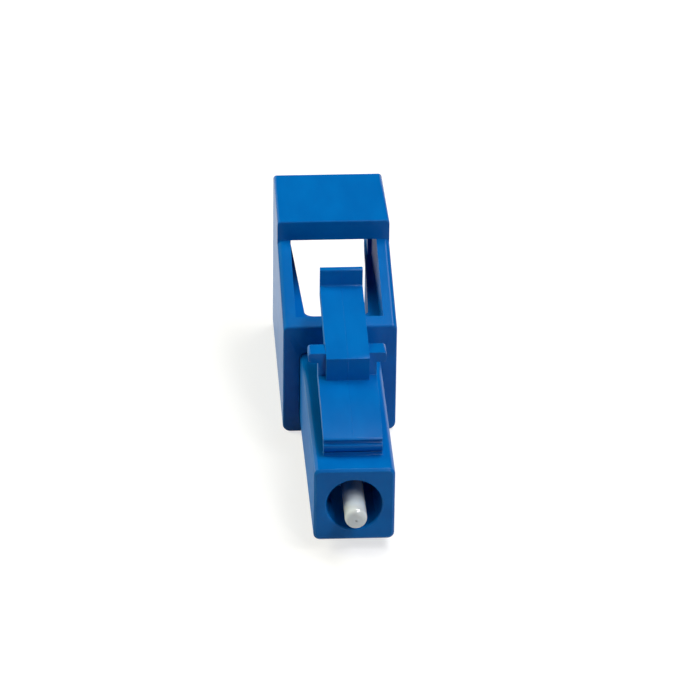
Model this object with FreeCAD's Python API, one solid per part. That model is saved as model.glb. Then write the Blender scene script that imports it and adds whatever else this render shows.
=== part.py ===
"""Plug-in fibre optic attenuator: square latching plug in front, matching female port behind.

Working frame of the functions: X across, Y behind the nose face, Z above the ferrule axis, in mm.
Every solid is moved once, at the end, so that the part stands on Z = 0 about its own middle.
"""

import FreeCAD, Part
import math
import os

Vector = FreeCAD.Vector
AXIS = Vector(0, 1, 0)
ACROSS = Vector(1, 0, 0)

# Plug nose
nose_width = 4.52
nose_root_width = 4.64
nose_length = 13.4
nose_corner = 0.38
nose_lead_in = 0.14
nose_bore = 3.1
nose_bore_depth = 4.6
bore_rim = 0.08
web_thickness = 0.8
web_hole = 1.9
cavity = 2.9
shank_depth = 1.6

# Ferrule, fibre and alignment sleeve
ferrule_diameter = 1.25
ferrule_proud = 1.73
ferrule_tip_round = 0.36
ferrule_dome = 0.02
ferrule_rear_bevel = 0.1
groove_width = 0.65
groove_depth = 0.1
groove_ahead = 0.2
fibre_diameter = 0.125
sleeve_length = 8.0
sleeve_wall = 0.185
sleeve_slit = 0.22
sleeve_reach = 5.4

# Collar, spring and spring stop
collar_diameter = 2.7
collar_length = 1.3
collar_bevel = 0.2
pilot_diameter = 1.8
pilot_length = 1.4
spring_mean_diameter = 2.24
spring_wire = 0.28
spring_turns = 6
spring_end_turns = 0.75
spring_end_play = 0.02
facets_per_turn = 16
wire_sides = 8
stop_thickness = 0.5
stop_hole = 1.45

# Sleeve holder
holder_diameter = 2.5
holder_flange_diameter = 3.6
holder_flange_thickness = 0.8
holder_lip = 0.3
holder_mouth = 1.45
holder_mouth_bevel = 0.18

# Latch lever, heights above the plug's top
latch_setback = 1.46
knuckle_radius = 0.36
knuckle_rise = 0.55
saddle_height = 0.3
saddle_inset = 0.12
root_groove = 0.13
arm_front = 1.6
arm_front_height = 1.02
arm_front_round = 0.2
arm_width = 3.3
arm_thickness = 0.8
arm_bend_at = 4.2
arm_bend_height = 1.78
step_at = 6.5
arm_height_at_step = 2.06
tab_height_at_step = 3.43
tab_width = 2.45
tab_thickness = 0.9
tab_end = 13.4
tab_height_at_end = 4.73
tab_edge = 0.12
thumb_lip_height = 0.97
thumb_lip_thickness = 0.42
lug_span = 4.43
lug_length = 1.1
lug_thickness = 0.6
lug_rear = 8.1
lug_corner = 0.2

# Rear box
box_width = 6.6
box_rear_width = 6.5
box_length = 13.25
box_corner = 0.46
box_edge = 0.12
ramp_corner = 0.3
bridge_corner = 0.2
edge_facets = 3
floor_thickness = 0.58
ramp_front_height = 1.77
ramp_rear_height = 3.77
bridge_length = 6.2
bridge_thickness = 1.24
window_width = 5.07
window_lip = 0.8
septum_thickness = 1.0

# Female port
latch_slot_width = 3.7
latch_slot_rear_width = 4.5
latch_slot_start = 0.6
latch_slot_corner = 0.55
guide_thickness = 0.7
tab_slot_width = 3.0
ledge_depth = 0.55
port_corner = 0.3
mouth_flare = 0.4

# Fits and clearances
port_fit = 0.05
shank_fit = 0.03
knuckle_fit = 0.03
sleeve_fit = 0.04
ferrule_fit = 0.01
fibre_fit = 0.008
holder_fit = 0.05
stop_fit = 0.05
catch_play = 0.1
tab_play = 0.12

# Places that follow from the sizes above
plug_top = nose_width / 2
box_front = nose_length
box_rear = box_front + box_length
shank_end = box_front + shank_depth
seat = shank_end + septum_thickness
port_half = nose_width / 2 + port_fit
box_bottom = -port_half - floor_thickness
ramp_rear = box_rear - bridge_length
bridge_under = plug_top + ramp_rear_height
bridge_top = bridge_under + bridge_thickness
guide_top = port_half + guide_thickness
catch_face = seat + lug_rear + catch_play
tab_slope = (tab_height_at_end - tab_height_at_step) / (tab_end - step_at)
lug_front = lug_rear - lug_length
lug_top = plug_top + tab_height_at_step + tab_slope * (lug_front - step_at)

ferrule_tip = -ferrule_proud
ferrule_rear = seat - ferrule_proud
groove_front = nose_bore_depth - groove_ahead
collar_front = nose_bore_depth + web_thickness
collar_rear = collar_front + collar_length
sleeve_rear = ferrule_rear + sleeve_reach
sleeve_front = sleeve_rear - sleeve_length
holder_front = sleeve_front - sleeve_fit
holder_rear = sleeve_rear + sleeve_fit + holder_lip
stop_front = holder_front - stop_thickness
holder_flange_front = shank_end - holder_flange_thickness
sleeve_bore = ferrule_diameter + 2 * ferrule_fit
sleeve_diameter = sleeve_bore + 2 * sleeve_wall

knuckle_at = latch_setback + knuckle_radius
knuckle_height = plug_top + knuckle_rise

part_middle = (ferrule_tip + box_rear) / 2
TO_FRAME = Vector(0, -part_middle, -box_bottom)


# Small builders

def block(width, front, rear, low, high):
    """Box centred on X, from front to rear along Y and from low to high along Z."""
    return Part.makeBox(width, rear - front, high - low, Vector(-width / 2, front, low))


def rod(diameter, front, rear):
    """Cylinder on the ferrule axis."""
    return Part.makeCylinder(diameter / 2, rear - front, Vector(0, front, 0), AXIS)


def cone(front_diameter, rear_diameter, front, rear):
    """Cone on the ferrule axis."""
    return Part.makeCone(front_diameter / 2, rear_diameter / 2, rear - front, Vector(0, front, 0), AXIS)


def flat_face(points):
    """Flat face with these corners."""
    return Part.Face(Part.makePolygon(points + points[:1]))


def side_prism(outline, width):
    """Outline of (y, z) points carried across X, centred on X."""
    face = flat_face([Vector(-width / 2, y, z) for y, z in outline])
    return face.extrude(Vector(width, 0, 0))


def plan_prism(outline, low, high):
    """Outline of (x, y) points carried up from low to high."""
    face = flat_face([Vector(x, y, low) for x, y in outline])
    return face.extrude(Vector(0, 0, high - low))


def rounded_section(width, low, high, corner, y, top_corner=None):
    """Wire of a rectangle with round corners, standing across the axis at y."""
    top = corner if top_corner is None else top_corner
    rim = []
    for number, (side, up) in enumerate([(1, -1), (1, 1), (-1, 1), (-1, -1)]):
        radius = top if up > 0 else corner
        x = side * (width / 2 - radius)
        z = high - radius if up > 0 else low + radius
        slant = radius * math.sqrt(0.5)
        flank = Vector(x + side * radius, y, z)
        middle = Vector(x + side * slant, y, z + up * slant)
        crown = Vector(x, y, z + up * radius)
        first, last = (crown, flank) if number % 2 == 0 else (flank, crown)
        rim.append((first, middle, last))
    edges = []
    for number, (first, middle, last) in enumerate(rim):
        edges.append(Part.Arc(first, middle, last).toShape())
        edges.append(Part.LineSegment(last, rim[(number + 1) % len(rim)][0]).toShape())
    return Part.Wire(edges)


def rounded_bar(width, low, high, corner, front, rear):
    """Bar of a round-cornered section along the axis."""
    face = Part.Face(rounded_section(width, low, high, corner, front))
    return face.extrude(Vector(0, rear - front, 0))


def round_steps(radius):
    """Inset and depth of the sections that make up a quarter-round edge, from the face inwards."""
    turns = [math.pi / 2 * step / edge_facets for step in range(edge_facets + 1)]
    return [(radius * (1 - math.sin(turn)), radius * (1 - math.cos(turn))) for turn in turns]


def turned(outline):
    """Outline of (radius, y) points turned about the ferrule axis."""
    face = flat_face([Vector(radius, y, 0) for radius, y in outline])
    return face.revolve(Vector(0, 0, 0), AXIS, 360)


def round_edges(solid, radius, wanted):
    """Fillet every edge whose centre passes the test."""
    return solid.makeFillet(radius, [edge for edge in solid.Edges if wanted(edge)])


def near(first, second):
    """True where two places are the same to a micron."""
    return abs(first - second) < 0.001


def runs_along(edge, direction):
    """True for a straight edge along the direction."""
    if edge.Curve.TypeId != "Part::GeomLine":
        return False
    return abs(edge.tangentAt(edge.FirstParameter).dot(direction)) > 0.999


# Plug

def plug_housing():
    """Drafted square nose with its bore, the spring cavity behind a web, and the latch's saddle."""
    half = nose_width / 2
    root_half = nose_root_width / 2
    lead_half = half - nose_lead_in
    sections = [
        rounded_section(2 * lead_half, -lead_half, lead_half, nose_corner - nose_lead_in, 0),
        rounded_section(nose_width, -half, half, nose_corner, nose_lead_in),
        rounded_section(nose_root_width, -root_half, root_half, nose_corner, box_front),
        rounded_section(nose_root_width, -root_half, root_half, nose_corner, shank_end),
    ]
    body = Part.makeLoft(sections, True, True)
    toe = latch_setback + saddle_inset
    heel = knuckle_at + (knuckle_at - toe)
    saddle = block(arm_width, toe, heel, 0, plug_top + saddle_height)
    body = body.fuse(saddle)
    knuckle_seat = Part.makeCylinder(
        knuckle_radius + knuckle_fit, nose_width, Vector(-nose_width / 2, knuckle_at, knuckle_height), ACROSS
    )
    hollows = [
        knuckle_seat,
        rod(nose_bore, 0, nose_bore_depth),
        cone(nose_bore + 2 * bore_rim, nose_bore, 0, bore_rim),
        rod(web_hole, 0, shank_end),
        rod(cavity, collar_front, shank_end),
        rod(holder_flange_diameter + 2 * holder_fit, holder_flange_front, shank_end),
    ]
    return body.cut(hollows).removeSplitter()


def latch_lever():
    """Sprung arm on its grooved knuckle, with two catch lugs and the narrow thumb tab with its lip."""
    arm_slope = (arm_height_at_step - arm_bend_height) / (step_at - arm_bend_at)
    arm_end_height = arm_height_at_step + arm_slope * (lug_rear - step_at)
    tab_height_at_lugs = tab_height_at_step + tab_slope * (lug_rear - step_at)
    lip_front = tab_end - thumb_lip_thickness
    tab_height_at_lip = tab_height_at_end - tab_slope * thumb_lip_thickness

    groove_height = knuckle_height + math.sqrt(knuckle_radius ** 2 - (knuckle_at - arm_front) ** 2)
    arm = side_prism(
        [(knuckle_at, knuckle_height), (arm_front, groove_height),
         (arm_front, plug_top + arm_front_height),
         (arm_bend_at, plug_top + arm_bend_height),
         (step_at, plug_top + arm_height_at_step),
         (lug_rear, plug_top + arm_end_height),
         (lug_rear, plug_top + arm_end_height - arm_thickness),
         (arm_bend_at, plug_top + arm_bend_height - arm_thickness)],
        arm_width,
    )
    arm = round_edges(
        arm, arm_front_round,
        lambda edge: runs_along(edge, ACROSS) and edge.CenterOfMass.y < arm_front + 0.01
        and edge.CenterOfMass.z > groove_height + 0.01,
    )
    knuckle = Part.makeCylinder(
        knuckle_radius, arm_width, Vector(-arm_width / 2, knuckle_at, knuckle_height), ACROSS
    )
    tab = side_prism(
        [(step_at, plug_top + arm_height_at_step - arm_thickness),
         (step_at, plug_top + tab_height_at_step),
         (lip_front, plug_top + tab_height_at_lip),
         (lip_front, plug_top + tab_height_at_end + thumb_lip_height),
         (tab_end, plug_top + tab_height_at_end + thumb_lip_height),
         (tab_end, plug_top + tab_height_at_end - tab_thickness),
         (lug_rear, plug_top + tab_height_at_lugs - tab_thickness),
         (lug_rear, plug_top + arm_end_height - arm_thickness)],
        tab_width,
    )
    tab = round_edges(
        tab, tab_edge, lambda edge: runs_along(edge, ACROSS) and edge.CenterOfMass.y > lug_rear
    )
    lugs = block(lug_span, lug_front, lug_rear, lug_top - lug_thickness, lug_top)
    lugs = round_edges(lugs, lug_corner, lambda edge: runs_along(edge, AXIS))
    cheeks = block(arm_width, lug_front, lug_rear, plug_top + arm_height_at_step, lug_top - lug_corner)
    groove = Part.makeCylinder(
        root_groove, lug_span, Vector(-lug_span / 2, arm_front, groove_height), ACROSS
    )
    return arm.fuse([knuckle, tab, lugs, cheeks]).cut(groove).removeSplitter()


# Rear box

def box_shell():
    """Outside of the rear box: round front edge, ramped shoulders, raised bridge, sides drawn in behind."""
    ramp_front_top = plug_top + ramp_front_height
    ramp_slope = (bridge_under - ramp_front_top) / (ramp_rear - box_front)
    draw_in = (box_width - box_rear_width) / bridge_length
    shoulders = []
    bridge = []
    for inset, depth in round_steps(box_edge):
        shoulders.append(rounded_section(
            box_width - 2 * inset, box_bottom + inset, ramp_front_top + ramp_slope * depth - inset,
            box_corner - inset, box_front + depth, ramp_corner - inset,
        ))
        bridge.append(rounded_section(
            box_width - draw_in * depth, box_bottom, bridge_top - inset, box_corner, ramp_rear + depth,
            bridge_corner,
        ))
    shoulders.append(rounded_section(box_width, box_bottom, bridge_under, box_corner, ramp_rear, ramp_corner))
    for inset, depth in reversed(round_steps(box_edge)):
        bridge.append(rounded_section(
            box_rear_width + draw_in * depth - 2 * inset, box_bottom + inset, bridge_top - inset,
            box_corner - inset, box_rear - depth, bridge_corner - inset,
        ))
    return Part.makeLoft(shoulders, True, True).fuse(Part.makeLoft(bridge, True, True))


def port_hollows():
    """What the mating plug needs behind the septum, from its nose seat to the flared mouth."""
    slot_front = seat + latch_slot_start
    passage = rounded_bar(2 * port_half, -port_half, port_half, port_corner, seat, box_rear)
    slot = plan_prism(
        [(-latch_slot_width / 2, slot_front), (latch_slot_width / 2, slot_front),
         (latch_slot_rear_width / 2, box_rear), (-latch_slot_rear_width / 2, box_rear)],
        0, guide_top,
    )
    slot = round_edges(
        slot, latch_slot_corner,
        lambda edge: runs_along(edge, Vector(0, 0, 1)) and near(edge.CenterOfMass.y, slot_front),
    )
    window_front = box_front + window_lip
    ledge_under = lug_top - ledge_depth
    tab_roof = plug_top + tab_play + tab_height_at_step + tab_slope * (catch_face - seat - step_at)
    upper = block(window_width, window_front, catch_face, guide_top, bridge_under)
    lug_way = block(2 * port_half, catch_face, box_rear, guide_top, ledge_under)
    tab_way = side_prism(
        [(catch_face, guide_top), (box_rear, guide_top),
         (box_rear, tab_roof + tab_slope * (box_rear - catch_face)), (catch_face, tab_roof)],
        tab_slot_width,
    )
    flare_half = port_half + mouth_flare / 2
    flare = Part.makeLoft(
        [rounded_section(2 * port_half, -port_half, port_half, port_corner, box_rear - mouth_flare),
         rounded_section(2 * flare_half, -flare_half, flare_half, port_corner, box_rear)],
        True, True,
    )
    return [passage, slot, upper, lug_way, tab_way, flare]


def adapter_housing():
    """Rear box with the pocket for the plug's shank, the septum and the female port."""
    pocket_half = nose_root_width / 2 + shank_fit
    pocket_corner = nose_corner + shank_fit
    pocket = rounded_bar(2 * pocket_half, -pocket_half, pocket_half, pocket_corner, box_front, shank_end)
    holder_hole = rod(holder_diameter + 2 * holder_fit, shank_end, seat)
    return box_shell().cut([pocket, holder_hole] + port_hollows()).removeSplitter()


# Optical line

def ferrule():
    """Ceramic ferrule with a round tip, and a shallow relief groove between its free end and the collar."""
    radius = ferrule_diameter / 2
    hole = fibre_diameter / 2 + fibre_fit
    flat = radius - ferrule_tip_round
    dome_edge = ferrule_tip + ferrule_dome
    round_end = dome_edge + ferrule_tip_round
    slant = ferrule_tip_round * math.sqrt(0.5)
    middle_radius = (hole + flat) / 2
    middle = Vector(middle_radius, ferrule_tip + ferrule_dome * (middle_radius / flat) ** 2, 0)
    shoulder = Vector(flat + slant, round_end - slant, 0)
    dome = Part.Arc(Vector(hole, ferrule_tip, 0), middle, Vector(flat, dome_edge, 0)).toShape()
    rim = Part.Arc(Vector(flat, dome_edge, 0), shoulder, Vector(radius, round_end, 0)).toShape()
    groove_start = Vector(radius, groove_front, 0)
    groove_middle = Vector(radius - groove_depth, groove_front + groove_width / 2, 0)
    groove_end = Vector(radius, groove_front + groove_width, 0)
    wall = Part.LineSegment(Vector(radius, round_end, 0), groove_start).toShape()
    groove = Part.Arc(groove_start, groove_middle, groove_end).toShape()
    rear = [(radius, ferrule_rear - ferrule_rear_bevel), (radius - ferrule_rear_bevel, ferrule_rear),
            (hole, ferrule_rear), (hole, ferrule_tip)]
    rest = Part.makePolygon([groove_end] + [Vector(x, y, 0) for x, y in rear])
    face = Part.Face(Part.Wire([dome, rim, wall, groove] + rest.Edges))
    return face.revolve(Vector(0, 0, 0), AXIS, 360)


def attenuating_fibre():
    """Doped glass fibre, flush with the ferrule at both ends."""
    return rod(fibre_diameter, ferrule_tip + ferrule_dome, ferrule_rear)


def ferrule_flange():
    """Metal collar on the ferrule, which seats on the web, with the pilot that centres the spring."""
    hole = ferrule_diameter / 2 + ferrule_fit
    collar = collar_diameter / 2
    pilot = pilot_diameter / 2
    pilot_end = collar_rear + pilot_length
    return turned(
        [(hole, collar_front), (collar - collar_bevel, collar_front), (collar, collar_front + collar_bevel),
         (collar, collar_rear), (pilot, collar_rear), (pilot, pilot_end), (hole, pilot_end)]
    )


def coil_height(turn, height):
    """How far the wire has climbed after so many turns, with closed turns at both ends."""
    closed_pitch = spring_wire + spring_end_play
    open_turns = spring_turns - 2 * spring_end_turns
    open_pitch = (height - 2 * spring_end_turns * closed_pitch) / open_turns
    open_part = min(max(turn - spring_end_turns, 0), open_turns)
    return closed_pitch * (turn - open_part) + open_pitch * open_part


def spring():
    """Coil spring from the collar to the spring stop, in flat facets along the wire."""
    wire = spring_wire / 2
    first = collar_rear + wire
    height = stop_front - wire - first
    rings = []
    for step in range(round(spring_turns * facets_per_turn) + 1):
        turn = step / facets_per_turn
        swing = 2 * math.pi * turn
        ring = []
        for side in range(wire_sides):
            around = 2 * math.pi * side / wire_sides
            reach = spring_mean_diameter / 2 + wire * math.cos(around)
            along = first + coil_height(turn, height) + wire * math.sin(around)
            ring.append(Vector(reach * math.sin(swing), along, reach * math.cos(swing)))
        rings.append(ring)
    faces = [flat_face(rings[0]), flat_face(rings[-1])]
    for ring, ahead in zip(rings, rings[1:]):
        for side in range(wire_sides):
            after = (side + 1) % wire_sides
            faces.append(flat_face([ring[side], ring[after], ahead[after]]))
            faces.append(flat_face([ring[side], ahead[after], ahead[side]]))
    return Part.Solid(Part.Shell(faces))


def spring_stop():
    """Washer between the spring and the sleeve holder, which also keeps the sleeve in."""
    outer = (cavity - 2 * stop_fit) / 2
    hole = stop_hole / 2
    return turned([(hole, stop_front), (outer, stop_front), (outer, holder_front), (hole, holder_front)])


def sleeve_holder():
    """Tube with a flange that is held between the plug's shank and the septum."""
    outer = holder_diameter / 2
    flange = holder_flange_diameter / 2
    bore = sleeve_diameter / 2 + sleeve_fit
    mouth = holder_mouth / 2
    lip_front = sleeve_rear + sleeve_fit
    return turned(
        [(bore, holder_front), (outer, holder_front), (outer, holder_flange_front),
         (flange, holder_flange_front), (flange, shank_end), (outer, shank_end),
         (outer, holder_rear - holder_mouth_bevel),
         (outer - holder_mouth_bevel, holder_rear), (mouth + holder_mouth_bevel, holder_rear),
         (mouth, holder_rear - holder_mouth_bevel), (mouth, lip_front), (bore, lip_front)]
    )


def split_sleeve():
    """Slit ceramic tube that lines the two ferrules up."""
    tube = rod(sleeve_diameter, sleeve_front, sleeve_rear).cut(rod(sleeve_bore, sleeve_front, sleeve_rear))
    slit = block(sleeve_slit, sleeve_front, sleeve_rear, 0, sleeve_diameter)
    return tube.cut(slit)


PIECES = [
    plug_housing, latch_lever, adapter_housing, ferrule, attenuating_fibre,
    ferrule_flange, spring, spring_stop, sleeve_holder, split_sleeve,
]


def main():
    """Build each piece, move it to the part's frame and write it under its own name."""
    os.makedirs("parts", exist_ok=True)
    for build in PIECES:
        shape = build()
        shape.translate(TO_FRAME)
        shape.exportStep(f"parts/{build.__name__}.step")
        box = shape.BoundBox
        print(f"{build.__name__}: {len(shape.Solids)} solid, valid {shape.isValid()}, {shape.Volume:.3f} mm3,"
              f" y {box.YMin:.2f} to {box.YMax:.2f}, z {box.ZMin:.2f} to {box.ZMax:.2f}")


main()
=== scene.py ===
"""Dressed scene of a plug-in fibre optic attenuator: moulded blue bodies, ceramic ferrule, sprung latch.

Sizes of the part are in millimetres in the classes below and become metres when a mesh is made. Their frame
is the connector's own: X across, Y behind the nose face, Z above the ferrule's axis. The studio is in metres.
"""

from __future__ import annotations

import logging
import math
from dataclasses import dataclass, field
from enum import Enum
from typing import TypeAlias

import bmesh
import bpy
import numpy as np
from mathutils import Matrix, Vector


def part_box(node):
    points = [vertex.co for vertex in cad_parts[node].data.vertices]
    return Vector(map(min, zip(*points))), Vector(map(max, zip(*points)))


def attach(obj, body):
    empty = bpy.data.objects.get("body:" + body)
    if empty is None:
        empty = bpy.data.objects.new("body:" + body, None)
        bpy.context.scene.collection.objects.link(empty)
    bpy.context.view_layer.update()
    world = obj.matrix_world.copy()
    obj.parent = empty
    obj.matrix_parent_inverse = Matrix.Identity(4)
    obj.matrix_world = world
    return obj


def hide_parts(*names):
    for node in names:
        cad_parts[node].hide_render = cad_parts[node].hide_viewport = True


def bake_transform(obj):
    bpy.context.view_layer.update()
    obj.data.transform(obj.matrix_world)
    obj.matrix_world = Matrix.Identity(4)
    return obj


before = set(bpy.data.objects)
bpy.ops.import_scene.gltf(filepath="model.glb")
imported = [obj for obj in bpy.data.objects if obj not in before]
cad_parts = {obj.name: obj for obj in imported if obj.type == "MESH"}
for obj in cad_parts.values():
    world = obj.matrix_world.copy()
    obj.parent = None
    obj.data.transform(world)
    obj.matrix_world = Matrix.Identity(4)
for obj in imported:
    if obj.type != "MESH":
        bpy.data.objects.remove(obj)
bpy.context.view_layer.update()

LOG = logging.getLogger("attenuator")
MM = 0.001
WEAR = "edge_wear"
SIDE_WALL = "side_wall"
SAME_POINT_MM = 1e-6
RING_SMOOTH_BELOW = 38.0

Pair: TypeAlias = tuple[float, float]
Triple: TypeAlias = tuple[float, float, float]
Number: TypeAlias = "float | Value"
Colour: TypeAlias = "Triple | Value"
Finish: TypeAlias = "MouldedPlastic | GroundCeramic | TurnedMetal | FibreGlass"


class Body(Enum):
    """Moving bodies of the part."""

    HOUSING = "housing"
    LATCH = "latch"
    FERRULE = "ferrule_unit"


class Slot(Enum):
    """Material slots of the part's record."""

    BODY = "body_blue"
    CERAMIC = "zirconia"
    GLASS = "glass_fibre"
    NICKEL = "nickel_brass"
    STEEL = "spring_steel"
    HOLDER = "holder_blue"


# Shader expressions


class Value:
    """A number socket that takes part in Python expressions."""

    def __init__(self, shader: Shader, socket: bpy.types.NodeSocket) -> None:
        """Keep the socket and the shader that it belongs to."""
        self.shader = shader
        self.socket = socket

    def _math(self, operation: str, left: Number, right: Number) -> Value:
        """Add a Math node of that operation."""
        return self.shader.node("ShaderNodeMath", {"operation": operation}, {0: left, 1: right})

    def __add__(self, other: Number) -> Value:
        """Sum."""
        return self._math("ADD", self, other)

    __radd__ = __add__

    def __sub__(self, other: Number) -> Value:
        """Difference."""
        return self._math("SUBTRACT", self, other)

    def __rsub__(self, other: Number) -> Value:
        """Difference from a number."""
        return self._math("SUBTRACT", other, self)

    def __mul__(self, other: Number) -> Value:
        """Product."""
        return self._math("MULTIPLY", self, other)

    __rmul__ = __mul__

    def at_most(self, limit: Number) -> Value:
        """The lesser of two values."""
        return self._math("MINIMUM", self, limit)


class Shader:
    """A node tree that is written as expressions."""

    def __init__(self, owner: bpy.types.Material | bpy.types.World) -> None:
        """Empty the owner's node tree and keep it.

        Args:
            owner: Material or world that takes the nodes.
        """
        owner.use_nodes = True
        self.owner = owner
        self.tree = owner.node_tree
        self.tree.nodes.clear()

    def node(
        self,
        kind: str,
        settings: dict | None = None,
        inputs: dict | None = None,
        output: int | str = 0,
    ) -> Value:
        """Add any node.

        Args:
            kind: Type name of the node.
            settings: Properties that are set first.
            inputs: Values or links of its sockets, by name or number.
            output: Name or number of the output that is handed back.

        Returns:
            The chosen output, or the first input of a node that has no outputs.
        """
        made = self.tree.nodes.new(kind)
        for name, setting in (settings or {}).items():
            setattr(made, name, setting)
        for name, given in (inputs or {}).items():
            if isinstance(given, Value):
                self.tree.links.new(given.socket, made.inputs[name])
            else:
                made.inputs[name].default_value = given
        return Value(self, made.outputs[output] if len(made.outputs) else made.inputs[0])

    def mix(self, factor: Number, first: Colour, second: Colour) -> Value:
        """Blend two colours, from the first at 0 to the second at 1."""
        start, end = (each if isinstance(each, Value) else (*each, 1.0) for each in (first, second))
        # The node's colour sockets are its inputs 6 and 7, and its output 2.
        return self.node("ShaderNodeMix", {"data_type": "RGBA"}, {0: factor, 6: start, 7: end}, 2)

    def window(self, value: Number, low: float, high: float) -> Value:
        """Smooth step of a value from 0 at low to 1 at high."""
        return self.node(
            "ShaderNodeMapRange",
            {"interpolation_type": "SMOOTHSTEP"},
            {"Value": value, "From Min": low, "From Max": high, "To Min": 0.0, "To Max": 1.0},
        )

    def place(self, stretch: Triple, turn: Triple) -> Value:
        """Object coordinates in millimetres, turned by angles and then times a factor on each axis.

        Args:
            stretch: Factor on each axis.
            turn: Angle about each axis, in radians.

        Returns:
            The coordinates.
        """
        here = self.node("ShaderNodeTexCoord", output="Object")
        if any(turn):
            here = self.node("ShaderNodeMapping", {}, {"Vector": here, "Rotation": turn})
        per_metre = tuple(each / MM for each in stretch)
        return self.node("ShaderNodeMapping", {}, {"Vector": here, "Scale": per_metre})

    def attribute(self, name: str) -> Value:
        """Number that the mesh holds under a name, 0 where it holds none."""
        return self.node("ShaderNodeAttribute", {"attribute_name": name}, output="Fac")

    def bump(self, height: Value, depth_um: float) -> Value:
        """Normal of a height of 0 to 1 over a depth in micrometres."""
        depth = depth_um * MM * MM
        return self.node("ShaderNodeBump", {}, {"Height": height, "Distance": depth, "Strength": 1.0})

    def surface(self, shader: Value) -> None:
        """Link the finished shader to the output."""
        kind = "World" if isinstance(self.owner, bpy.types.World) else "Material"
        self.node(f"ShaderNodeOutput{kind}", {}, {"Surface": shader})

    def principled(self, inputs: dict) -> bpy.types.Material:
        """Finish a material with a Principled shader of these inputs, and hand the material back."""
        self.surface(self.node("ShaderNodeBsdfPrincipled", {}, inputs))
        return self.owner

    def seen_plainly(self) -> Value:
        """Mask of the rays that show a background: camera, glossy and transmission rays.

        Returns:
            1 for such rays, else 0.
        """
        path = "ShaderNodeLightPath"
        camera = self.node(path, output="Is Camera Ray")
        glossy = self.node(path, output="Is Glossy Ray")
        through = self.node(path, output="Is Transmission Ray")
        return (camera + glossy + through).at_most(1.0)


# Finishes: a span is where a noise value fades in, and a dull value is what a feature adds to the roughness


@dataclass(frozen=True)
class Texture:
    """Fractal noise on the object's own coordinates."""

    cells_per_mm: float
    detail: float
    stretch: Triple = (1.0, 1.0, 1.0)
    turn: Triple = (0.0, 0.0, 0.0)

    def on(self, shader: Shader) -> Value:
        """Add the noise to a shader.

        Args:
            shader: Shader that takes the nodes.

        Returns:
            The noise, about 0 to 1.
        """
        place = shader.place(self.stretch, self.turn)
        inputs = {"Vector": place, "Scale": self.cells_per_mm, "Detail": self.detail}
        return shader.node("ShaderNodeTexNoise", {}, inputs)


@dataclass(frozen=True)
class MouldedPlastic:
    """Dyed plastic from a polished mould: flow shades, fine grain, rubbed edges and hairline scratches.

    The side walls drag along the steel as the mould opens, so they come out duller by the drag.
    """

    name: str
    slot: Slot
    colour: Triple
    deep: Triple
    rubbed: Triple
    roughness: float
    specular: float
    grain_um: float
    drag: float
    flow: Texture = Texture(0.55, 4.0, stretch=(1.0, 0.35, 1.0))
    clouds: Texture = Texture(1.6, 5.0)
    grain: Texture = Texture(22.0, 2.0)
    hairs: Texture = Texture(1.2, 2.0, stretch=(12.0, 0.5, 12.0), turn=(0.3, 0.2, 0.45))
    crossing: Texture = Texture(1.0, 2.0, stretch=(0.6, 11.0, 11.0), turn=(0.5, -0.4, 0.7))
    flow_span: Pair = (0.3, 0.7)
    rub_span: Pair = (0.38, 0.66)
    hair_span: Pair = (0.71, 0.76)
    crossing_span: Pair = (0.72, 0.77)
    rub_share: float = 0.55
    cloud_dull: float = 0.1
    grain_dull: float = 0.05
    scratch_dull: float = 0.04
    rub_dull: float = 0.05
    mean_dull: float = 0.08
    grain_height: float = 0.7
    cloud_height: float = 0.6
    scratch_depth: float = 0.1

    def material(self) -> bpy.types.Material:
        """Build the node tree.

        Returns:
            The finished material.
        """
        shader = Shader(bpy.data.materials.new(self.name))
        flow, clouds, grain = self.flow.on(shader), self.clouds.on(shader), self.grain.on(shader)
        hairs = shader.window(self.hairs.on(shader), *self.hair_span)
        crossing = shader.window(self.crossing.on(shader), *self.crossing_span)
        scratch = hairs + crossing
        rubbed = shader.attribute(WEAR) * shader.window(clouds, *self.rub_span)
        shade = shader.mix(shader.window(flow, *self.flow_span), self.deep, self.colour)
        rough = (
            self.roughness
            + self.cloud_dull * clouds
            + self.grain_dull * grain
            + self.scratch_dull * scratch
            + self.rub_dull * rubbed
            - self.mean_dull
            + self.drag * shader.attribute(SIDE_WALL)
        )
        height = grain * self.grain_height + clouds * self.cloud_height - scratch * self.scratch_depth
        return shader.principled(
            {
                "Base Color": shader.mix(rubbed * self.rub_share, shade, self.rubbed),
                "Roughness": rough,
                "Specular IOR Level": self.specular,
                "Normal": shader.bump(height, self.grain_um),
            }
        )


@dataclass(frozen=True)
class GroundCeramic:
    """Dense white ceramic, ground round and polished, with faint grinding rings round its axis."""

    name: str = "ground_ceramic"
    slot: Slot = Slot.CERAMIC
    colour: Triple = (0.62, 0.7, 0.77)
    shade: Triple = (0.62, 0.66, 0.67)
    roughness: float = 0.05
    ior: float = 2.1
    specular: float = 0.35
    ring_um: float = 0.25
    clouds: Texture = Texture(1.3, 4.0)
    rings: Texture = Texture(3.0, 3.0, stretch=(0.15, 12.0, 0.15))
    cloud_span: Pair = (0.35, 0.75)
    ring_dull: float = 0.08
    cloud_dull: float = 0.05

    def material(self) -> bpy.types.Material:
        """Build the node tree.

        Returns:
            The finished material.
        """
        shader = Shader(bpy.data.materials.new(self.name))
        clouds, rings = self.clouds.on(shader), self.rings.on(shader)
        return shader.principled(
            {
                "Base Color": shader.mix(shader.window(clouds, *self.cloud_span), self.colour, self.shade),
                "Roughness": self.roughness + self.ring_dull * rings + self.cloud_dull * clouds,
                "IOR": self.ior,
                "Specular IOR Level": self.specular,
                "Normal": shader.bump(rings, self.ring_um),
            }
        )


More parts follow.
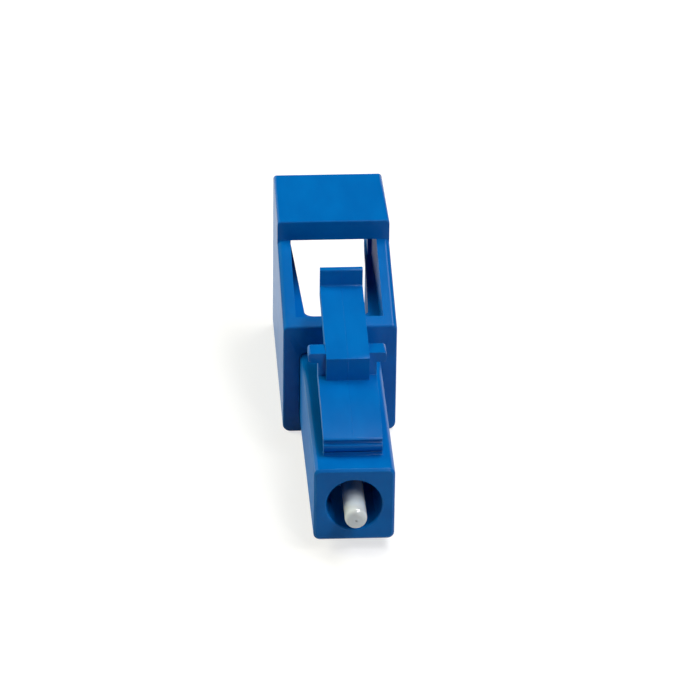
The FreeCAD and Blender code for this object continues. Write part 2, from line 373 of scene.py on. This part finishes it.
@dataclass(frozen=True)
class TurnedMetal:
    """Bright metal with turning or drawing marks round the axis, and faint tarnish."""

    name: str
    slot: Slot
    colour: Triple
    tarnish: Triple
    roughness: float
    marks: Texture
    mark_um: float = 0.8
    clouds: Texture = Texture(1.8, 5.0)
    cloud_span: Pair = (0.45, 0.8)
    mark_dull: float = 0.16
    cloud_dull: float = 0.1

    def material(self) -> bpy.types.Material:
        """Build the node tree.

        Returns:
            The finished material.
        """
        shader = Shader(bpy.data.materials.new(self.name))
        marks, clouds = self.marks.on(shader), self.clouds.on(shader)
        return shader.principled(
            {
                "Base Color": shader.mix(shader.window(clouds, *self.cloud_span), self.colour, self.tarnish),
                "Roughness": self.roughness + self.mark_dull * marks + self.cloud_dull * clouds,
                "Metallic": 1.0,
                "Normal": shader.bump(marks, self.mark_um),
            }
        )


@dataclass(frozen=True)
class FibreGlass:
    """Silica that is a little darker where its doping is denser."""

    name: str = "fibre_glass"
    slot: Slot = Slot.GLASS
    colour: Triple = (0.7, 0.76, 0.8)
    doped: Triple = (0.5, 0.55, 0.59)
    roughness: float = 0.04
    ior: float = 1.46
    transmission: float = 0.25
    clouds: Texture = Texture(30.0, 2.0)
    cloud_dull: float = 0.04

    def material(self) -> bpy.types.Material:
        """Build the node tree.

        Returns:
            The finished material.
        """
        shader = Shader(bpy.data.materials.new(self.name))
        clouds = self.clouds.on(shader)
        return shader.principled(
            {
                "Base Color": shader.mix(clouds, self.colour, self.doped),
                "Roughness": self.roughness + self.cloud_dull * clouds,
                "IOR": self.ior,
                "Transmission Weight": self.transmission,
            }
        )


class Finishes:
    """All the finishes of the part, each made once."""

    def __init__(self) -> None:
        """Make every material."""
        self.body = MouldedPlastic(
            name="moulded_blue",
            slot=Slot.BODY,
            colour=(0.0, 0.148, 0.515),
            deep=(0.0, 0.125, 0.46),
            rubbed=(0.01, 0.18, 0.54),
            roughness=0.22,
            specular=0.12,
            grain_um=0.25,
            drag=0.32,
        )
        self.holder = MouldedPlastic(
            name="satin_blue",
            slot=Slot.HOLDER,
            colour=(0.0, 0.085, 0.32),
            deep=(0.0, 0.075, 0.29),
            rubbed=(0.01, 0.13, 0.4),
            roughness=0.46,
            specular=0.25,
            grain_um=0.6,
            drag=0.1,
        )
        self.ceramic = GroundCeramic()
        self.nickel = TurnedMetal(
            name="plated_nickel",
            slot=Slot.NICKEL,
            colour=(0.7, 0.68, 0.62),
            tarnish=(0.58, 0.55, 0.47),
            roughness=0.16,
            marks=Texture(1.0, 3.0, stretch=(0.1, 24.0, 0.1)),
        )
        self.steel = TurnedMetal(
            name="drawn_steel",
            slot=Slot.STEEL,
            colour=(0.56, 0.56, 0.56),
            tarnish=(0.44, 0.43, 0.42),
            roughness=0.2,
            marks=Texture(1.0, 3.0, stretch=(0.1, 8.0, 0.1)),
        )
        self.glass = FibreGlass()
        every = (self.body, self.holder, self.ceramic, self.nickel, self.steel, self.glass)
        self.materials = {finish.name: finish.material() for finish in every}

    def dress(self, piece: bpy.types.Object, finish: Finish) -> None:
        """Give a piece its finish.

        Args:
            piece: Object that takes the finish.
            finish: One of the finishes above.
        """
        piece.data.materials.clear()
        piece.data.materials.append(self.materials[finish.name])


# Meshes


@dataclass(frozen=True)
class Datum:
    """Where the connector's own frame lies in the part's frame, in metres."""

    nose_y: float = field(default_factory=lambda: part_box("plug_housing")[0].y)
    axis_z: float = field(default_factory=lambda: (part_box("ferrule")[0].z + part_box("ferrule")[1].z) / 2)

    def to_part(self, points: np.ndarray) -> np.ndarray:
        """Carry points from the connector's frame in millimetres to the part's frame in metres."""
        return points * MM + np.array([0.0, self.nose_y, self.axis_z])


def new_object(name: str, data: bpy.types.ID) -> bpy.types.Object:
    """Make an object of a mesh, lamp or camera in the scene's own collection.

    Args:
        name: Name of the object.
        data: What it shows.

    Returns:
        The new object, at the origin.
    """
    made = bpy.data.objects.new(name, data)
    bpy.context.scene.collection.objects.link(made)
    return made


def ring_quads(rings: int, points: int, closed: bool) -> np.ndarray:
    """Corner numbers of the quads that join rings of points, ring by ring.

    Args:
        rings: Number of rings.
        points: Number of points in a ring.
        closed: True where the last ring joins the first.

    Returns:
        Array of shape (quads, 4).
    """
    ring, point = np.meshgrid(np.arange(rings if closed else rings - 1), np.arange(points), indexing="ij")
    ahead, beside = (ring + 1) % rings, (point + 1) % points
    corners = (
        ring * points + point,
        ahead * points + point,
        ahead * points + beside,
        ring * points + beside,
    )
    return np.stack(corners, axis=-1).reshape(-1, 4)


def ring_piece(name: str, rings: np.ndarray, closed: bool) -> bpy.types.Object:
    """Join rings of points to a smooth mesh object at the origin, with its faces turned outwards.

    Args:
        name: Name of the piece.
        rings: Places in metres, shape (rings, points, 3).
        closed: True where the last ring joins the first; else both ends are capped.

    Returns:
        The new object.
    """
    count, points, _ = rings.shape
    faces = ring_quads(count, points, closed).tolist()
    if not closed:
        faces += [list(range(points)), list(range((count - 1) * points, count * points))]
    mesh = bpy.data.meshes.new(name)
    mesh.from_pydata(rings.reshape(-1, 3).tolist(), [], faces)
    work = bmesh.new()
    work.from_mesh(mesh)
    bmesh.ops.recalc_face_normals(work, faces=work.faces)
    work.to_mesh(mesh)
    work.free()
    mesh.shade_smooth()
    mesh.set_sharp_from_angle(angle=math.radians(RING_SMOOTH_BELOW))
    return new_object(name, mesh)


def rounded_outline(corners: np.ndarray, radii: np.ndarray, arc: int) -> np.ndarray:
    """Round the corners of an outline.

    Each corner becomes a quadratic curve: it leaves the corner by its radius along both sides, and the
    points between are the weighted sums (1-t)^2, 2t(1-t) and t^2 of the start, the corner and the end.

    Args:
        corners: Outline, shape (n, 2).
        radii: How far each corner's curve reaches along its sides, 0 at the ends of an open outline.
        arc: Points on each curve.

    Returns:
        The finer outline, without points that repeat.
    """
    back = np.roll(corners, 1, axis=0) - corners
    ahead = np.roll(corners, -1, axis=0) - corners
    back_length = np.linalg.norm(back, axis=1, keepdims=True)
    ahead_length = np.linalg.norm(ahead, axis=1, keepdims=True)
    reach = radii[:, None]
    start = corners + back / back_length * np.minimum(reach, back_length / 2)
    end = corners + ahead / ahead_length * np.minimum(reach, ahead_length / 2)
    t = np.linspace(0.0, 1.0, arc)[None, :, None]
    curve = (1 - t) ** 2 * start[:, None] + 2 * t * (1 - t) * corners[:, None] + t**2 * end[:, None]
    fine = curve.reshape(-1, 2)
    step = np.linalg.norm(np.diff(fine, axis=0), axis=1)
    return fine[np.r_[True, step > SAME_POINT_MM]]


def turned_rings(outline: np.ndarray, points: int) -> np.ndarray:
    """Turn an outline about the ferrule's axis.

    The point at angle a of a corner (r, y) is (r cos a, y, r sin a).

    Args:
        outline: (radius, y) corners in millimetres.
        points: Points round the axis.

    Returns:
        One ring for each corner, shape (corners, points, 3).
    """
    angle = np.linspace(0.0, 2 * np.pi, points, endpoint=False)
    radius, along = outline[:, 0, None], outline[:, 1, None]
    return np.stack(np.broadcast_arrays(radius * np.cos(angle), along, radius * np.sin(angle)), axis=-1)


@dataclass
class SoftenedNode:
    """A moulded or ground node with the small edge radius that its solid leaves out; angles in degrees."""

    node: str
    name: str
    body: Body
    edge_mm: float
    sharp_above: float = 24.0
    drag: float = 1.0
    segments: int = 3
    profile: float = 0.5
    merge_mm: float = 0.0008
    flat_below: float = 0.8
    smooth_below: float = 45.0

    def build(self) -> bpy.types.Object:
        """Round a copy of the node and note where it is rubbed or dragged.

        Returns:
            The piece that stands for the node.
        """
        mesh = self._rounded_copy()
        self._note_drag(mesh)
        mesh.shade_smooth()
        mesh.set_sharp_from_angle(angle=math.radians(self.smooth_below))
        piece = new_object(self.name, mesh)
        piece.modifiers.new("weigh_normals", "WEIGHTED_NORMAL").keep_sharp = True
        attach(piece, self.body.value)
        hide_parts(self.node)
        return piece

    def _rounded_copy(self) -> bpy.types.Mesh:
        """Merge a copy of the node's mesh and round its sharp edges, in millimetres while it is worked on.

        Returns:
            The new mesh, whose rounded faces are noted as rubbed.
        """
        work = bmesh.new()
        work.from_mesh(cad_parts[self.node].data)
        rubbed = work.faces.layers.float.new(WEAR)
        bmesh.ops.scale(work, vec=(1 / MM,) * 3, verts=work.verts)
        bmesh.ops.remove_doubles(work, verts=work.verts, dist=self.merge_mm)
        flat = math.radians(self.flat_below)
        bmesh.ops.dissolve_limit(work, angle_limit=flat, verts=work.verts, edges=work.edges)
        sharp = math.radians(self.sharp_above)
        rounded = bmesh.ops.bevel(
            work,
            geom=[edge for edge in work.edges if edge.calc_face_angle(0.0) > sharp],
            offset=self.edge_mm,
            offset_type="OFFSET",
            segments=self.segments,
            profile=self.profile,
            affect="EDGES",
            clamp_overlap=True,
        )
        for face in rounded["faces"]:
            face[rubbed] = 1.0
        bmesh.ops.triangulate(work, faces=[face for face in work.faces if len(face.verts) > 4])
        bmesh.ops.scale(work, vec=(MM,) * 3, verts=work.verts)
        mesh = bpy.data.meshes.new(self.name)
        work.to_mesh(mesh)
        work.free()
        return mesh

    def _note_drag(self, mesh: bpy.types.Mesh) -> None:
        """Write each face's share of the mould's drag into the mesh.

        It is twice the square of the sideways part of the face's normal, less 1, and at least 0: so 1 on a
        side wall, and 0 on faces that look up, down or along the axis. Inner walls, which grip the mould's
        core, take all of it, and outer walls the piece's share.

        Args:
            mesh: Mesh that takes the values.
        """
        normals, middles = np.empty((2, 3 * len(mesh.polygons)), np.float32)
        mesh.polygons.foreach_get("normal", normals)
        mesh.polygons.foreach_get("center", middles)
        sideways = normals[::3]
        share = np.where(sideways * middles[::3] < 0, 1.0, self.drag)
        dragged = share * np.clip(sideways**2 * 2 - 1, 0.0, 1.0)
        mesh.attributes.new(SIDE_WALL, "FLOAT", "FACE").data.foreach_set("value", dragged)


# Sub-assemblies


@dataclass
class PlugNose:
    """Drafted square nose with its ferrule bore."""

    edge_mm: float = 0.05

    def build(self, finishes: Finishes) -> list[bpy.types.Object]:
        """Make the nose.

        Args:
            finishes: Finishes of the part.

        Returns:
            Its pieces.
        """
        nose = SoftenedNode("plug_housing", "plug_moulding", Body.HOUSING, self.edge_mm).build()
        finishes.dress(nose, finishes.body)
        return [nose]


@dataclass
class LatchLever:
    """Sprung latch with its tab, lugs and the mould line along its back.

    Places on the back are pairs of the distance behind the nose face and the height above the plug's top.
    """

    edge_mm: float = 0.06
    sharp_above: float = 50.0
    plug_top: float = 2.26
    line_start: Pair = (1.95, 1.122)
    arm_bend: Pair = (4.2, 1.78)
    step_foot: Pair = (6.5, 2.06)
    step_head: Pair = (6.5, 3.43)
    lip_foot: Pair = (12.98, 4.65)
    lip_head: Pair = (12.98, 5.62)
    bend_round: float = 0.3
    step_round: float = 0.08
    lip_round: float = 0.12
    corner_points: int = 6
    line_width: float = 0.045
    line_height: float = 0.012
    line_sunk: float = 0.02
    line_points: int = 10

    def build(self, finishes: Finishes) -> list[bpy.types.Object]:
        """Make the lever and its mould line.

        Args:
            finishes: Finishes of the part.

        Returns:
            Its pieces.
        """
        lever = SoftenedNode(
            "latch_lever", "latch_moulding", Body.LATCH, self.edge_mm, sharp_above=self.sharp_above
        ).build()
        line = self._mould_line()
        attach(line, Body.LATCH.value)
        pieces = [lever, line]
        for piece in pieces:
            finishes.dress(piece, finishes.body)
        return pieces

    def _mould_line(self) -> bpy.types.Object:
        """Fine rib where the mould's halves met, from the arm's rounded front to the thumb lip.

        The path is the lever's back with its corners rounded. At each place of the path a flat ring stands
        across it: half the line's width times cos a to the side, and sin a times the line's height, or its
        sunk depth where sin a is below 0, along the path's normal.

        Returns:
            The new object.
        """
        corners = (
            (self.line_start, 0.0),
            (self.arm_bend, self.bend_round),
            (self.step_foot, self.step_round),
            (self.step_head, self.step_round),
            (self.lip_foot, self.lip_round),
            (self.lip_head, 0.0),
        )
        path = np.array([place for place, _ in corners]) + np.array([0.0, self.plug_top])
        back = rounded_outline(path, np.array([radius for _, radius in corners]), self.corner_points)
        along = np.gradient(back, axis=0)
        along /= np.linalg.norm(along, axis=1, keepdims=True)
        normal = np.column_stack((-along[:, 1], along[:, 0]))
        angle = np.linspace(0.0, 2 * np.pi, self.line_points, endpoint=False)
        rise = np.where(np.sin(angle) > 0, self.line_height, self.line_sunk) * np.sin(angle)
        across = np.broadcast_to(self.line_width / 2 * np.cos(angle), (len(back), len(angle)))
        sides = back[:, None, :] + normal[:, None, :] * rise[None, :, None]
        rings = np.concatenate((across[..., None], sides), axis=-1)
        return ring_piece("latch_mould_line", Datum().to_part(rings), closed=False)


@dataclass
class RearBox:
    """Rear box with the female port and the top window."""

    edge_mm: float = 0.06
    drag: float = 0.3

    def build(self, finishes: Finishes) -> list[bpy.types.Object]:
        """Make the box.

        Args:
            finishes: Finishes of the part.

        Returns:
            Its pieces.
        """
        box = SoftenedNode("adapter_housing", "rear_box", Body.HOUSING, self.edge_mm, drag=self.drag).build()
        finishes.dress(box, finishes.body)
        return [box]


@dataclass
class OpticalLine:
    """Ferrule with its fibre and collar, the spring behind it, and the sleeve that lines it up."""

    tip: float = -1.73
    rear: float = 14.27
    radius: float = 0.625
    capillary: float = 0.0705
    tip_round: float = 0.36
    dome: float = 0.02
    groove_front: float = 4.4
    groove_width: float = 0.65
    groove_depth: float = 0.1
    rear_bevel: float = 0.1
    rear_rounds: Triple = (0.03, 0.03, 0.01)
    face_rings: int = 8
    corner_rings: int = 14
    groove_rings: int = 13
    round_rings: int = 5
    ferrule_points: int = 128
    coil_front: float = 6.7
    coil_rear: float = 11.13
    coil_radius: float = 1.12
    wire: float = 0.14
    turns: float = 6.0
    end_turns: float = 0.75
    end_pitch: float = 0.3
    turn_rings: int = 32
    wire_points: int = 16
    collar_edge: float = 0.03
    washer_edge: float = 0.04
    tube_edge: float = 0.04
    sleeve_edge: float = 0.025

    def build(self, finishes: Finishes) -> list[bpy.types.Object]:
        """Make the ferrule and the spring, and dress what the solids already give.

        Args:
            finishes: Finishes of the part.

        Returns:
            Its pieces.
        """
        datum = Datum()
        ferrule = self._ferrule(datum)
        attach(ferrule, Body.FERRULE.value)
        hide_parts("ferrule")
        finishes.dress(ferrule, finishes.ceramic)
        spring = self._spring(datum)
        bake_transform(spring)
        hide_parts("spring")
        finishes.dress(spring, finishes.steel)
        softened = (
            (SoftenedNode("ferrule_flange", "ferrule_collar", Body.FERRULE, self.collar_edge), finishes.nickel),
            (SoftenedNode("spring_stop", "stop_washer", Body.HOUSING, self.washer_edge), finishes.nickel),
            (SoftenedNode("sleeve_holder", "sleeve_tube", Body.HOUSING, self.tube_edge), finishes.holder),
            (SoftenedNode("split_sleeve", "slit_sleeve", Body.HOUSING, self.sleeve_edge), finishes.ceramic),
        )
        pieces = [ferrule, spring]
        for soft, finish in softened:
            piece = soft.build()
            finishes.dress(piece, finish)
            pieces.append(piece)
        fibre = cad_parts["attenuating_fibre"]
        finishes.dress(fibre, finishes.glass)
        return pieces + [fibre]

    def _ferrule(self, datum: Datum) -> bpy.types.Object:
        """Ferrule as a turned outline: capillary, slightly domed face, round tip, wall, groove and rear end.

        The tip's corner is a quarter circle about a centre one tip radius inside the wall; the face falls
        back by the dome's height with the square of the radius; the groove dips by its depth times sin u,
        with u from 0 to pi over its width.

        Args:
            datum: Where the connector's frame lies.

        Returns:
            The new object.
        """
        flat = self.radius - self.tip_round
        centre = self.tip + self.dome + self.tip_round
        spread = np.linspace(self.capillary, flat, self.face_rings)
        turn = np.linspace(0.0, np.pi / 2, self.corner_rings)[1:]
        across = np.linspace(0.0, 1.0, self.groove_rings)
        dip = self.groove_depth * np.sin(np.pi * across)
        face = np.column_stack((spread, self.tip + self.dome * (spread / flat) ** 2))
        corner = np.column_stack(
            (flat + self.tip_round * np.sin(turn), centre - self.tip_round * np.cos(turn))
        )
        groove = np.column_stack((self.radius - dip, self.groove_front + self.groove_width * across))
        end = np.array(
            [
                [self.radius, self.rear - self.rear_bevel],
                [self.radius - self.rear_bevel, self.rear],
                [self.capillary, self.rear],
            ]
        )
        outline = np.vstack((face, corner, groove, end))
        radii = np.zeros(len(outline))
        radii[-len(end) :] = self.rear_rounds
        rings = turned_rings(rounded_outline(outline, radii, self.round_rings), self.ferrule_points)
        return ring_piece("ceramic_ferrule", datum.to_part(rings), closed=True)

    def _spring(self, datum: Datum) -> bpy.types.Object:
        """Coil spring with closed end turns.

        After t turns the wire's middle is at the coil's radius, at the angle 2 pi t, and has climbed by the
        end pitch over the end turns and evenly over the rest. A circle of the wire's radius stands there,
        out along the radius by cos b and along the axis by sin b.

        Args:
            datum: Where the connector's frame lies.

        Returns:
            The new object.
        """
        turn = np.linspace(0.0, self.turns, self.turn_rings * int(self.turns) + 1)
        open_turns = self.turns - 2 * self.end_turns
        height = self.coil_rear - self.coil_front - 2 * self.wire
        open_pitch = (height - 2 * self.end_turns * self.end_pitch) / open_turns
        opened = np.clip(turn - self.end_turns, 0.0, open_turns)
        climb = self.coil_front + self.wire + self.end_pitch * (turn - opened) + open_pitch * opened
        around = np.linspace(0.0, 2 * np.pi, self.wire_points, endpoint=False)
        reach = self.coil_radius + self.wire * np.cos(around)[None, :]
        swing = 2 * np.pi * turn[:, None]
        along = climb[:, None] + self.wire * np.sin(around)[None, :]
        rings = np.stack((reach * np.sin(swing), along, reach * np.cos(swing)), axis=-1)
        return ring_piece("coil_spring", datum.to_part(rings), closed=False)


# Stage


@dataclass(frozen=True)
class Lamp:
    """Rectangular soft lamp, unseen by the camera; without glints, glossy surfaces don't mirror it."""

    name: str
    place: Triple
    aim: Triple
    width: float
    depth: float
    watts: float
    tint: Triple = (1.0, 1.0, 1.0)
    glints: bool = True

    def hang(self) -> None:
        """Make the lamp and turn its face to the aim."""
        data = bpy.data.lights.new(self.name, "AREA")
        data.shape = "RECTANGLE"
        data.size, data.size_y, data.energy, data.color = self.width, self.depth, self.watts, self.tint
        lamp = new_object(self.name, data)
        lamp.location = self.place
        lamp.rotation_euler = (Vector(self.place) - Vector(self.aim)).to_track_quat("Z", "Y").to_euler()
        lamp.visible_camera = False
        lamp.visible_glossy = self.glints


@dataclass
class Studio:
    """Pale floor, dark card, soft light and the camera of the photograph."""

    target: Triple = (0.0, -0.00146, 0.00489)
    distance: float = 0.26
    azimuth: float = 3.884
    elevation: float = 29.061
    roll: float = -0.717
    pixels_per_mm: float = 17.403
    frame_pixels: float = 700.0
    target_pixel: Pair = (342.531, 377.466)
    sensor_mm: float = 36.0
    clip: Pair = (0.01, 10.0)
    floor_half: float = 3.0
    floor_bounce: float = 0.45
    floor_shaded: float = 0.4
    floor_glow: float = 0.7
    shadow_reach: float = 0.05
    card_left: float = -0.1
    card_right: float = 0.45
    card_low: float = 0.06
    card_high: float = 0.42
    card_near: float = 0.1
    card_far: float = 0.36
    card_colour: Triple = (0.03, 0.035, 0.045)
    ambient: float = 0.04
    lamps: tuple[Lamp, ...] = (
        Lamp("overhead_softbox", (0.12, 0.05, 0.33), (0.0, 0.0, 0.0), width=0.4, depth=0.14, watts=1.3),
        Lamp("front_softbox", (0.16, -0.42, 0.07), (0.0, 0.0, 0.004), width=0.12, depth=0.06, watts=0.19),
        Lamp("key_lamp", (0.081, -0.156, 0.24), (0.0, -0.01, 0.004), width=0.02, depth=0.08, watts=0.11),
        Lamp(
            "side_fill",
            (-0.26, 0.1, 0.16),
            (0.0, -0.004, 0.005),
            width=0.16,
            depth=0.16,
            watts=0.75,
            tint=(1.0, 0.94, 0.64),
            glints=False,
        ),
    )

    def build(self) -> None:
        """Make the floor, the world, the card, the lamps and the camera."""
        self._floor()
        self._world()
        self._card()
        for lamp in self.lamps:
            lamp.hang()
        self._camera()

    @staticmethod
    def _sheet(name: str, corners: list[list[float]], shader: Shader) -> bpy.types.Object:
        """Make a flat sheet of four corners.

        Args:
            name: Name of the sheet.
            corners: Places in metres.
            shader: Shader of its material.

        Returns:
            The new object.
        """
        mesh = bpy.data.meshes.new(name)
        mesh.from_pydata(corners, [], [[0, 1, 2, 3]])
        mesh.materials.append(shader.owner)
        return new_object(name, mesh)

    @staticmethod
    def _diffuse(shader: Shader, colour: Triple) -> Value:
        """Dull surface of a colour."""
        return shader.node("ShaderNodeBsdfDiffuse", {}, {"Color": (*colour, 1.0)})

    def _floor(self) -> None:
        """Flat floor, which is white to the camera beyond the shadow and keeps the shadow near the part."""
        shader = Shader(bpy.data.materials.new("pale_floor"))
        bounce = self._diffuse(shader, (self.floor_bounce,) * 3)
        shaded = self._diffuse(shader, (self.floor_shaded,) * 3)
        glow = shader.node("ShaderNodeEmission", {}, {"Strength": self.floor_glow})
        near = shader.node("ShaderNodeAddShader", {}, {0: shaded, 1: glow})
        white = shader.node("ShaderNodeEmission", {}, {"Strength": 1.0})
        here = shader.node("ShaderNodeTexCoord", output="Object")
        away = shader.node("ShaderNodeVectorMath", {"operation": "LENGTH"}, {0: here}, "Value")
        beyond = shader.window(away, self.shadow_reach, 2 * self.shadow_reach)
        seen = shader.node("ShaderNodeMixShader", {}, {0: beyond, 1: near, 2: white})
        shader.surface(shader.node("ShaderNodeMixShader", {}, {0: shader.seen_plainly(), 1: bounce, 2: seen}))
        half = self.floor_half
        corners = [[-half, -half, 0.0], [half, -half, 0.0], [half, half, 0.0], [-half, half, 0.0]]
        floor = self._sheet("floor", corners, shader)

    def _card(self) -> None:
        """Dark card behind and above the part, which keeps white reflections off the level tops."""
        shader = Shader(bpy.data.materials.new("dark_card"))
        shader.surface(self._diffuse(shader, self.card_colour))
        foot, head = (self.card_far, self.card_low), (self.card_near, self.card_high)
        left, right = self.card_left, self.card_right
        flag = self._sheet("flag", [[left, *foot], [right, *foot], [right, *head], [left, *head]], shader)
        flag.visible_camera = False

    def _world(self) -> None:
        """White surroundings for the camera, softer ones for the light."""
        world = bpy.data.worlds.new("studio")
        bpy.context.scene.world = world
        shader = Shader(world)
        strength = self.ambient + shader.seen_plainly() * (1.0 - self.ambient)
        shader.surface(shader.node("ShaderNodeBackground", {}, {"Strength": strength}))

    def _camera(self) -> None:
        """Camera fitted to the photograph; the columns of its matrix are right, up and backward."""
        turn, tilt, roll = np.radians([self.azimuth, self.elevation, self.roll])
        forward = np.array([np.sin(turn) * np.cos(tilt), np.cos(turn) * np.cos(tilt), -np.sin(tilt)])
        level = np.array([np.cos(turn), -np.sin(turn), 0.0])
        upright = np.cross(level, forward)
        right = np.cos(roll) * level - np.sin(roll) * upright
        up = np.sin(roll) * level + np.cos(roll) * upright
        place = np.array(self.target) - forward * self.distance
        matrix = np.eye(4)
        matrix[:3, :] = np.column_stack((right, up, -forward, place))
        data = bpy.data.cameras.new("camera")
        data.sensor_width = self.sensor_mm
        data.lens = self.pixels_per_mm * self.distance / MM / self.frame_pixels * self.sensor_mm
        middle = self.frame_pixels / 2
        data.shift_x = (middle - self.target_pixel[0]) / self.frame_pixels
        data.shift_y = (self.target_pixel[1] - middle) / self.frame_pixels
        data.clip_start, data.clip_end = self.clip
        camera = new_object("camera", data)
        camera.matrix_world = Matrix(matrix.tolist())
        bpy.context.scene.camera = camera


def main() -> None:
    """Build the sub-assemblies in order and report each piece."""
    logging.basicConfig(level=logging.INFO, format="%(name)s: %(message)s")
    bpy.context.scene.view_settings.view_transform = "Standard"
    finishes = Finishes()
    for assembly in (PlugNose(), LatchLever(), RearBox(), OpticalLine()):
        for piece in assembly.build(finishes):
            LOG.info("%s: %s, %d faces", type(assembly).__name__, piece.name, len(piece.data.polygons))
    Studio().build()


if __name__ == "__main__":
    main()
